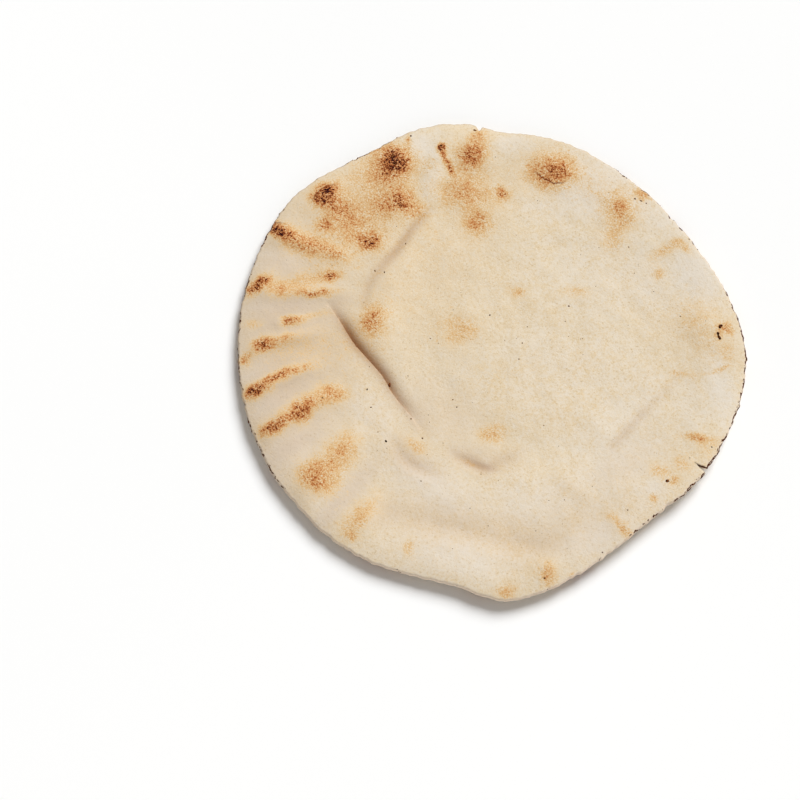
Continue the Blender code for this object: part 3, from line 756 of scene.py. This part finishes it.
def charred_places(skin, rng):
    for x, y, half_length, half_width, turn in BURST:
        angle = math.radians(turn)
        size = (half_length, half_width, 0.22)
        yield laid(skin, (x, y, 50.0), (0, 0, -1), (math.cos(angle), math.sin(angle), 0), size)
    for start, end, count, half_length in RIM_CRUMBS:
        for i in range(count):
            bearing = start + (end - start) * (i + rng.uniform(-0.3, 1.3)) / count
            c, s = math.cos(math.radians(bearing)), math.sin(math.radians(bearing))
            height = float(around(LIFT, np.array([bearing]))[0]) + rng.uniform(1.5, 2.3)
            size = (half_length * rng.uniform(0.5, 1.3), rng.uniform(0.3, 0.5), 0.25)
            yield laid(skin, (160 * c, 160 * s, height), (-c, -s, 0), (-s, c, 0), size)


def make_bread():
    bread = add_piece("pita", pita_mesh(), wheat_crust())
    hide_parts("bread")
    solid = bmesh.new()
    solid.from_mesh(bread.data)
    skin = BVHTree.FromBMesh(solid)
    solid.free()
    rng = np.random.default_rng(FLAKE_SEED)
    bran = add_piece("bran_flakes", flakes("bran", bran_places(skin, rng), rng, 0.15), bran_skin())
    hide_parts("bread")
    char = add_piece("charred_crumbs", flakes("char", charred_places(skin, rng), rng, 0.30), char_skin())
    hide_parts("bread")


# ---------------------------------------------------------------- table, light and camera

CAMERA_ELEVATION = 70.0
CAMERA_DISTANCE = 1.111
CAMERA_LENS = 100.0
AIM = (-0.046, -0.0231, 0.0)  # the fanned breads' middle, left of and nearer than this one's


TENT_STRENGTH = 0.25
TENT_COLOUR = (1.0, 0.94, 0.88, 1.0)  # warmed by the bread, so that the shadows are not grey
KEY_STRENGTH = 3.44
KEY_COLOUR = (0.96, 0.98, 1.0)
KEY_SPREAD = 32.0
KEY_FROM = (0.58, 0.82, 0.92)
FILL_STRENGTH = 0.55
FILL_COLOUR = (1.0, 1.0, 1.0)
FILL_SPREAD = 45.0
FILL_FROM = (0.1, -0.95, 0.42)


def make_table():
    bm = bmesh.new()
    bmesh.ops.create_circle(bm, cap_ends=True, segments=96, radius=4.0)
    mesh = bpy.data.meshes.new("table")
    bm.to_mesh(mesh)
    bm.free()
    table = bpy.data.objects.new("table", mesh)
    bpy.context.scene.collection.objects.link(table)
    mesh.materials.append(studio_table())


def aimed(thing, place, target):
    thing.location = place
    thing.rotation_euler = (Vector(target) - Vector(place)).to_track_quat("-Z", "Y").to_euler()


def make_light():
    """A tent of white paper all round, a large far softbox behind and to the right, and a low fill in front."""
    world = bpy.data.worlds.new("studio")
    bpy.context.scene.world = world
    world.use_nodes = True
    backdrop = world.node_tree.nodes["Background"]
    backdrop.inputs["Color"].default_value = TENT_COLOUR
    backdrop.inputs["Strength"].default_value = TENT_STRENGTH
    for name, strength, colour, spread, place in (
        ("far_softbox", KEY_STRENGTH, KEY_COLOUR, KEY_SPREAD, KEY_FROM),
        ("front_fill", FILL_STRENGTH, FILL_COLOUR, FILL_SPREAD, FILL_FROM),
    ):
        data = bpy.data.lights.new(name, "SUN")
        data.energy, data.color, data.angle = strength, colour, math.radians(spread)
        lamp = bpy.data.objects.new(name, data)
        bpy.context.scene.collection.objects.link(lamp)
        aimed(lamp, place, (0.0, 0.0, 0.0))
    bpy.context.scene.view_settings.view_transform = "Standard"


def make_camera():
    data = bpy.data.cameras.new("camera")
    data.lens, data.sensor_width = CAMERA_LENS, 36.0
    camera = bpy.data.objects.new("camera", data)
    bpy.context.scene.collection.objects.link(camera)
    rise = math.radians(CAMERA_ELEVATION)
    back = Vector((0.0, -math.cos(rise), math.sin(rise))) * CAMERA_DISTANCE
    aimed(camera, Vector(AIM) + back, AIM)
    bpy.context.scene.camera = camera


make_camera()
make_light()
make_table()
make_bread()
